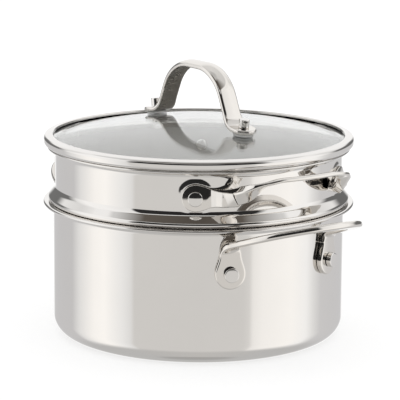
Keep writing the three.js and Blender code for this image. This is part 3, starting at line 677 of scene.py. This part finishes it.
def ring_outline(inner, outer, bottom, top, edge):
    middle = (bottom + top) / 2
    return supported(rounded([
        (inner, middle),
        (inner, bottom, edge),
        (outer, bottom, edge),
        (outer, top, edge),
        (inner, top, edge),
        (inner, middle),
    ], step=15)[:-1], longest=1.2, inset=0.12)


def nut(place):
    """A hexagon nut whose corners are turned off at both faces."""
    flat = NUT_RADIUS * math.cos(math.pi / 6)
    face = flat * 1.01  # a little past the flats, so that the corners alone are turned off
    face_inset = 0.1
    levels = [
        (nut_bottom, "bore"), (nut_bottom, "face"), (nut_bottom + NUT_CHAMFER, "side"),
        (nut_top - NUT_CHAMFER, "side"), (nut_top, "face"), (nut_top, "bore"),
    ]
    bm = bmesh.new()
    rings = []
    for height, kind in levels:
        ring = []
        for k in range(NUT_STEPS):
            angle = 2 * math.pi * k / NUT_STEPS
            from_flat = (angle % (math.pi / 3)) - math.pi / 6
            hexagon = flat / math.cos(from_flat)
            radius = {"bore": stud_bore, "face": min(hexagon, face) - face_inset, "side": hexagon}[kind]
            ring.append(bm.verts.new(place @ (outward(angle) * radius + UP * height) * MM))
        rings.append(ring)
    rings_to_faces(bm, rings, closed=True)
    return bm


# Materials
def add(tree, kind, inputs=None, **settings):
    node = tree.nodes.new(kind)
    for key, value in settings.items():
        setattr(node, key, value)
    for key, value in (inputs or {}).items():
        if isinstance(value, bpy.types.NodeSocket):
            tree.links.new(value, node.inputs[key])
        else:
            node.inputs[key].default_value = value
    return node


def new_material(name):
    material = bpy.data.materials.new(name)
    material.use_nodes = True
    tree = material.node_tree
    tree.nodes.clear()
    shader = add(tree, "ShaderNodeBsdfPrincipled")
    add(tree, "ShaderNodeOutputMaterial", {"Surface": shader.outputs["BSDF"]})
    return material, tree, shader


def mix_colours(tree, factor, one, two):
    """Two colours mixed by a factor: a Mix node takes colours at sockets 6 and 7 and gives one at 2."""
    node = add(tree, "ShaderNodeMix", {"Factor": factor, 6: one, 7: two}, data_type="RGBA")
    return node.outputs[2]


POLISH_TURN = 0.004  # metres of texture in a radian round the axis, small so that the lines are long


def spun_place(tree):
    """Coordinates in which a turned piece's polishing lines run round z: radius, height and angle."""
    place = add(tree, "ShaderNodeTexCoord").outputs["Object"]
    parts = add(tree, "ShaderNodeSeparateXYZ", {0: place})
    flat = add(tree, "ShaderNodeCombineXYZ", {"X": parts.outputs["X"], "Y": parts.outputs["Y"]})
    radius = add(tree, "ShaderNodeVectorMath", {0: flat.outputs[0]}, operation="LENGTH")
    angle = add(tree, "ShaderNodeMath", {0: parts.outputs["Y"], 1: parts.outputs["X"]},
                operation="ARCTAN2")
    turn = add(tree, "ShaderNodeMath", {0: angle.outputs[0], 1: POLISH_TURN}, operation="MULTIPLY")
    joined = add(tree, "ShaderNodeCombineXYZ", {
        "X": radius.outputs["Value"], "Y": parts.outputs["Z"], "Z": turn.outputs[0]})
    return joined.outputs[0]


def steel(name, tints, smooth, rough, relief, spun=False, metal=1.0):
    """Polished stainless steel: faint polishing lines, soft smears of roughness and a slight unevenness."""
    light_tint, dark_tint = tints
    material, tree, shader = new_material(name)
    place = add(tree, "ShaderNodeTexCoord").outputs["Object"]
    if spun:
        lined = spun_place(tree)
    else:
        lined = add(tree, "ShaderNodeMapping", {0: place, "Scale": (0.12, 0.12, 1.0)}).outputs[0]
    lines = add(tree, "ShaderNodeTexNoise", {"Vector": lined, "Scale": 1400.0, "Detail": 3.0})
    smears = add(tree, "ShaderNodeTexNoise", {"Vector": place, "Scale": 28.0, "Detail": 4.0})
    both = add(tree, "ShaderNodeMath", {0: lines.outputs["Fac"], 1: smears.outputs["Fac"]},
               operation="MULTIPLY")
    worn = add(tree, "ShaderNodeMapRange", {
        "Value": both.outputs[0], "From Min": 0.12, "From Max": 0.42, "To Min": smooth, "To Max": rough})
    tree.links.new(worn.outputs["Result"], shader.inputs["Roughness"])
    colour = mix_colours(tree, smears.outputs["Fac"], (*dark_tint, 1), (*light_tint, 1))
    tree.links.new(colour, shader.inputs["Base Color"])
    fine = add(tree, "ShaderNodeBump", {
        "Height": lines.outputs["Fac"], "Strength": relief, "Distance": 0.00002})
    wave = add(tree, "ShaderNodeTexNoise", {"Vector": place, "Scale": 16.0, "Detail": 1.0})
    uneven = add(tree, "ShaderNodeBump", {
        "Height": wave.outputs["Fac"], "Strength": relief, "Distance": 0.0004,
        "Normal": fine.outputs["Normal"]})
    tree.links.new(uneven.outputs["Normal"], shader.inputs["Normal"])
    shader.inputs["Metallic"].default_value = metal
    return material


def clear_glass():
    material, tree, shader = new_material("lid_clear_glass")
    place = add(tree, "ShaderNodeTexCoord").outputs["Object"]
    smears = add(tree, "ShaderNodeTexNoise", {"Vector": place, "Scale": 22.0, "Detail": 5.0})
    film = add(tree, "ShaderNodeMapRange", {
        "Value": smears.outputs["Fac"], "From Min": 0.45, "From Max": 0.8, "To Min": 0.0, "To Max": 0.03})
    tree.links.new(film.outputs["Result"], shader.inputs["Roughness"])
    tint = mix_colours(tree, smears.outputs["Fac"], (0.97, 0.985, 0.98, 1), (0.99, 0.995, 0.99, 1))
    tree.links.new(tint, shader.inputs["Base Color"])
    shader.inputs["Transmission Weight"].default_value = 1.0
    shader.inputs["IOR"].default_value = 1.5
    return material


def rubber():
    """Milky silicone rubber that lets a little light through."""
    material, tree, shader = new_material("gasket_soft_rubber")
    place = add(tree, "ShaderNodeTexCoord").outputs["Object"]
    grain = add(tree, "ShaderNodeTexNoise", {"Vector": place, "Scale": 900.0, "Detail": 4.0})
    colour = mix_colours(tree, grain.outputs["Fac"], (0.78, 0.77, 0.75, 1), (0.86, 0.86, 0.84, 1))
    tree.links.new(colour, shader.inputs["Base Color"])
    worn = add(tree, "ShaderNodeMapRange", {
        "Value": grain.outputs["Fac"], "To Min": 0.35, "To Max": 0.55})
    tree.links.new(worn.outputs["Result"], shader.inputs["Roughness"])
    bump = add(tree, "ShaderNodeBump", {
        "Height": grain.outputs["Fac"], "Strength": 0.4, "Distance": 0.0002})
    tree.links.new(bump.outputs["Normal"], shader.inputs["Normal"])
    shader.inputs["Transmission Weight"].default_value = 0.35
    shader.inputs["IOR"].default_value = 1.41
    return material


# Lightest and darkest tints of each finish
WARM = (0.87, 0.85, 0.825), (0.82, 0.80, 0.775)
WARMER = (0.87, 0.84, 0.80), (0.80, 0.768, 0.728)
# Near-white tints for the inside are painted light that brightens it
SATIN_PAINTED_LIGHT = (0.97, 0.96, 0.945), (0.94, 0.93, 0.915)
# Dark brown tints for the arch's inner face are painted shade under the arch
PAINTED_SHADE_TINTS = (0.29, 0.268, 0.24), (0.19, 0.175, 0.155)
pot_steel = steel("pot_polished_steel", WARM, 0.03, 0.08, relief=0.14, spun=True)
steamer_steel = steel("steamer_polished_steel", WARM, 0.015, 0.045, relief=0.1, spun=True)
# The inside is satin steel; its near-white tint and half-metal mix are painted light that brightens it
inside_painted_light_steel = steel("inside_satin_painted_light_steel", SATIN_PAINTED_LIGHT, 0.32, 0.45, relief=0.5, spun=True, metal=0.5)
# The arch's inner face: satin roughness, with dark tints as painted shade
arch_painted_shade_steel = steel("strap_satin_painted_shade_steel", PAINTED_SHADE_TINTS, 0.24, 0.36, relief=0.4)
band_steel = steel("band_polished_steel", WARM, 0.015, 0.04, relief=0.06, spun=True)
handle_steel = steel("handle_polished_steel", WARMER, 0.03, 0.07, relief=0.1)
rivet_steel = steel("rivet_polished_steel", WARM, 0.03, 0.07, relief=0.08)
glass = clear_glass()
gasket = rubber()


# How far a face has to look some way to take another finish, as parts of its normal
LOOKS_UP, LOOKS_IN, LOOKS_UNDER, LOOKS_ASIDE = 0.6, 0.2, 0.5, 0.6


def dress(piece, node, body, material):
    piece.data.materials.clear()
    piece.data.materials.append(material)
    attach(piece, body)
    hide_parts(node)
    return piece


def line_inside(piece, material):
    """Gives the faces that look into a vessel a material of their own, made paler by painted light."""
    piece.data.materials.append(material)
    for face in piece.data.polygons:
        reach = Vector((face.center.x, face.center.y, 0))
        inward = -face.normal.dot(reach.normalized())
        on_floor = face.normal.z > LOOKS_UP and reach.length < WELL_RADIUS * MM
        face.material_index = int(inward > LOOKS_IN or on_floor)


pot = new_object("pot_body_fine", turned(pot_outline(), BODY_STEPS))
line_inside(dress(pot, "pot_body", "pot", pot_steel), inside_painted_light_steel)
steamer = new_object("steamer_body_fine", press_pads(turned(steamer_outline(), WALL_STEPS)))
steamer = without(steamer, steamer_hole_cutters())
line_inside(dress(steamer, "steamer_body", "steamer", steamer_steel), inside_painted_light_steel)
dress(new_object("lid_glass_fine", turned(glass_outline(), BODY_STEPS)),
      "lid_glass", "lid", glass)
dress(new_object("lid_rim_band_fine", turned(band_outline(), BODY_STEPS)),
      "lid_rim_band", "lid", band_steel)
strap = dress(new_object("lid_handle_fine", lofted(lid_handle_sections())),
              "lid_handle", "lid", handle_steel)
# The arch's inner face has a satin finish, painted darker as painted shade under the arch.
strap.data.materials.append(arch_painted_shade_steel)
arch_middle = Vector((0, 0, (dome_centre + dome_radius) * MM))
for face in strap.data.polygons:
    inner = face.normal.dot((arch_middle - face.center).normalized()) > LOOKS_UNDER
    face.material_index = int(inner and abs(face.normal.y) < LOOKS_ASIDE)

quarter = Matrix.Rotation(math.pi / 2, 4, "Y")
for side, turn in (("right", 0.0), ("left", math.pi)):
    about = Matrix.Rotation(turn, 4, "Z")
    for body, sections, outline, angle, height in (
        ("pot", pot_handle_sections(),
         rivet_outline(POT_RADIUS, POT_SHEET, POT_LUG_THICK, POT_RIVET_DOME),
         pot_rivet_angle, POT_RIVET_HEIGHT),
        ("steamer", steamer_handle_sections(),
         rivet_outline(STEAMER_RADIUS, STEAMER_SHEET, STEAMER_LUG_THICK, STEAMER_RIVET_DOME),
         steamer_rivet_angle, steamer_rivet_height),
    ):
        node = f"{body}_handle_{side}"
        dress(new_object(f"{node}_fine", lofted(sections, about), HANDLE_SHARP),
              node, body, handle_steel)
        for end, sign in (("a", -1), ("b", 1)):
            node = f"{body}_rivet_{side}_{end}"
            place = about @ Matrix.Translation(UP * height) @ Matrix.Rotation(sign * angle, 4, "Z") @ quarter
            dress(new_object(f"{node}_fine", turned(outline, SMALL_STEPS, place)),
                  node, body, rivet_steel)

for side, sign in (("right", 1), ("left", -1)):
    place = (Matrix.Translation(UP * dome_centre) @ Matrix.Rotation(sign * stud_lean, 4, "Y")
             @ Matrix.Translation(UP * dome_radius))
    dress(new_object(f"lid_stud_{side}_fine", turned(stud_outline(), SMALL_STEPS, place)),
          f"lid_stud_{side}", "lid", rivet_steel)
    for node, radius, bottom, top, slot, material in (
        ("lid_upper_gasket", GASKET_RADIUS, GAP, GAP + GASKET_THICK, "gasket_rubber", gasket),
        ("lid_lower_gasket", GASKET_RADIUS, lower_gasket_top - GASKET_THICK, lower_gasket_top,
         "gasket_rubber", gasket),
        ("lid_washer", WASHER_RADIUS, washer_top - WASHER_THICK, washer_top, "rivet_steel", rivet_steel),
    ):
        outline = ring_outline(stud_bore, radius, bottom, top, RING_EDGE)
        dress(new_object(f"{node}_{side}_fine", turned(outline, SMALL_STEPS, place)),
              f"{node}_{side}", "lid", material)
    dress(new_object(f"lid_nut_{side}_fine", nut(place), NUT_SHARP),
          f"lid_nut_{side}", "lid", rivet_steel)

# Camera
CAMERA_TURN, CAMERA_PITCH, CAMERA_ROLL = math.radians(55.1), math.radians(11.69), math.radians(0.41)
CAMERA_DISTANCE, CAMERA_HEIGHT, CAMERA_ASIDE = 1.6465, 0.4336, 0.00108
CAMERA_LENS, CAMERA_SENSOR, CAMERA_CLIP = 216.0, 36.0, 50.0
level = Vector((math.cos(CAMERA_TURN), math.sin(CAMERA_TURN), 0))
ahead = Vector((-math.sin(CAMERA_TURN), math.cos(CAMERA_TURN), 0))
forward = ahead * math.cos(CAMERA_PITCH) - UP * math.sin(CAMERA_PITCH)
over = level.cross(forward)
right = level * math.cos(CAMERA_ROLL) + over * math.sin(CAMERA_ROLL)
top = over * math.cos(CAMERA_ROLL) - level * math.sin(CAMERA_ROLL)
camera = bpy.data.objects.new("camera", bpy.data.cameras.new("camera"))
camera.data.lens = CAMERA_LENS
camera.data.sensor_width = CAMERA_SENSOR
camera.data.clip_end = CAMERA_CLIP
spot = ahead * -CAMERA_DISTANCE + UP * CAMERA_HEIGHT + level * CAMERA_ASIDE
axes = Matrix((right, top, -forward)).transposed().to_4x4()
camera.matrix_world = Matrix.Translation(spot) @ axes
bpy.context.scene.collection.objects.link(camera)
bpy.context.scene.camera = camera


# Studio: a white backdrop behind the object, softboxes beside it, dark cards in front, a strip light above
def ramp(tree, factor, stops):
    """Light round the object, from stops of degrees from the camera's side, brightness and perhaps a tint."""
    node = add(tree, "ShaderNodeValToRGB", {"Fac": factor})
    elements = node.color_ramp.elements
    while len(elements) > 1:
        elements.remove(elements[-1])
    for i, (degrees, level, *tint) in enumerate(stops):
        position = (degrees + 180) / 360
        stop = elements[0] if i == 0 else elements.new(position)
        stop.position = position
        red, green, blue = tint[0] if tint else (1, 1, 1)
        stop.color = (level * red, level * green, level * blue, 1)
    return node.outputs["Color"]


world = bpy.data.worlds.new("studio")
bpy.context.scene.world = world
world.use_nodes = True
tree = world.node_tree
tree.nodes.clear()
direction = add(tree, "ShaderNodeTexCoord").outputs["Generated"]
facing = add(tree, "ShaderNodeMapping", {0: direction, "Rotation": (0, 0, math.pi / 2 - CAMERA_TURN)})
around = add(tree, "ShaderNodeTexGradient", {0: facing.outputs[0]}, gradient_type="RADIAL").outputs["Fac"]
height = add(tree, "ShaderNodeSeparateXYZ", {0: direction}).outputs["Z"]

LILAC = (0.995, 0.99, 1.005)
WARM_LIGHT = (1.0, 0.985, 0.965)
BROWN = (1.0, 0.88, 0.76)
floor_light = ramp(tree, around, [(-180, 0.45), (0, 0.42, WARM_LIGHT), (180, 0.45)])
below = ramp(tree, around, [(-180, 0.55), (-90, 0.55), (0, 0.58, WARM_LIGHT), (90, 0.55), (180, 0.55)])
low = ramp(tree, around, [
    (-180, 1.0), (-168, 1.0), (-160, 0.62, LILAC), (-118, 0.64, LILAC), (-108, 0.85),
    (-90, 1.08, WARM_LIGHT), (-79, 1.12, WARM_LIGHT), (-62, 0.95), (-54, 0.84),
    (-51, 0.71, WARM_LIGHT), (0, 0.70, WARM_LIGHT), (36, 0.71, WARM_LIGHT), (41, 0.77, WARM_LIGHT),
    (44, 0.95, WARM_LIGHT), (52, 1.03, WARM_LIGHT), (79, 1.1, WARM_LIGHT), (95, 1.03), (104, 0.84),
    (114, 0.68, LILAC), (160, 0.62, LILAC), (168, 1.0), (180, 1.0)])
horizon = ramp(tree, around, [
    (-180, 1.0), (-168, 1.0), (-160, 0.18), (-125, 0.18), (-112, 0.9), (-100, 1.05), (-80, 1.05),
    (-54, 0.9), (-51.5, 0.03), (0, 0.02), (48, 0.03), (56, 0.9), (80, 1.05), (100, 1.05),
    (112, 0.8), (122, 0.16), (160, 0.16), (168, 1.0), (180, 1.0)])
middle = ramp(tree, around, [
    (-180, 1.0), (-150, 1.0), (-118, 0.8), (-100, 1.05), (-80, 1.05), (-54, 0.9), (-51.5, 0.03),
    (0, 0.02), (48, 0.03), (56, 0.9), (80, 1.05), (100, 1.05), (118, 0.8), (150, 1.0), (180, 1.0)])
strip = ramp(tree, around, [
    (-180, 0.9), (-100, 1.0), (-60, 0.9), (0, 0.95), (15, 0.9), (24, 0.3), (44, 0.3),
    (60, 0.95), (100, 1.0), (180, 0.9)])
upper = ramp(tree, around, [
    (-180, 0.8), (-90, 0.7), (-65, 0.12, BROWN), (0, 0.09, BROWN), (55, 0.12, BROWN),
    (90, 0.7), (180, 0.8)])
zenith = ramp(tree, around, [(-180, 0.55), (180, 0.55)])


def level_mix(lower, higher, start, end):
    """One level's colours giving way to the next between two elevations, in degrees."""
    share = add(tree, "ShaderNodeMapRange", {
        "Value": height, "From Min": math.sin(math.radians(start)), "From Max": math.sin(math.radians(end))},
        interpolation_type="SMOOTHSTEP")
    return mix_colours(tree, share.outputs["Result"], lower, higher)


studio = level_mix(floor_light, below, -80, -72)
studio = level_mix(studio, low, -48, -30)
studio = level_mix(studio, horizon, -8, -5)
studio = level_mix(studio, middle, 14, 22)
studio = level_mix(studio, strip, 39, 41)
studio = level_mix(studio, upper, 46, 49)
studio = level_mix(studio, zenith, 72, 80)
# The camera, the view through the glass and the light see plain white. Mirrors see the studio.
rays = add(tree, "ShaderNodeLightPath")
seen = add(tree, "ShaderNodeMath", {
    0: rays.outputs["Is Camera Ray"], 1: rays.outputs["Is Transmission Ray"]}, operation="MAXIMUM")
plain = add(tree, "ShaderNodeMath", {0: seen.outputs[0], 1: rays.outputs["Is Diffuse Ray"]},
            operation="MAXIMUM")
shown = mix_colours(tree, plain.outputs[0], studio, (1, 1, 1, 1))
back = add(tree, "ShaderNodeBackground", {"Color": shown, "Strength": 1.0})
add(tree, "ShaderNodeOutputWorld", {"Surface": back.outputs[0]})

# Floor: white to the camera, with the object's shadow. Mirrors see the studio's light from below instead.
FLOOR_HALF, FLOOR_DROP, FLOOR_GREY, FLOOR_GLOW = 12.0, 0.0002, 0.4, 0.68
bm = bmesh.new()
bmesh.ops.create_grid(bm, x_segments=8, y_segments=8, size=FLOOR_HALF)
floor = new_object("floor", bm)
floor.location.z = -FLOOR_DROP
floor.visible_glossy = False
paint = bpy.data.materials.new("floor_paint")
paint.use_nodes = True
tree = paint.node_tree
tree.nodes.clear()
matt = add(tree, "ShaderNodeBsdfDiffuse", {"Color": (FLOOR_GREY, FLOOR_GREY, FLOOR_GREY, 1)})
glow = add(tree, "ShaderNodeEmission", {"Color": (1, 1, 1, 1), "Strength": FLOOR_GLOW})
sum_up = add(tree, "ShaderNodeAddShader", {0: matt.outputs[0], 1: glow.outputs[0]})
add(tree, "ShaderNodeOutputMaterial", {"Surface": sum_up.outputs[0]})
floor.data.materials.append(paint)

bpy.context.scene.view_settings.view_transform = "Standard"
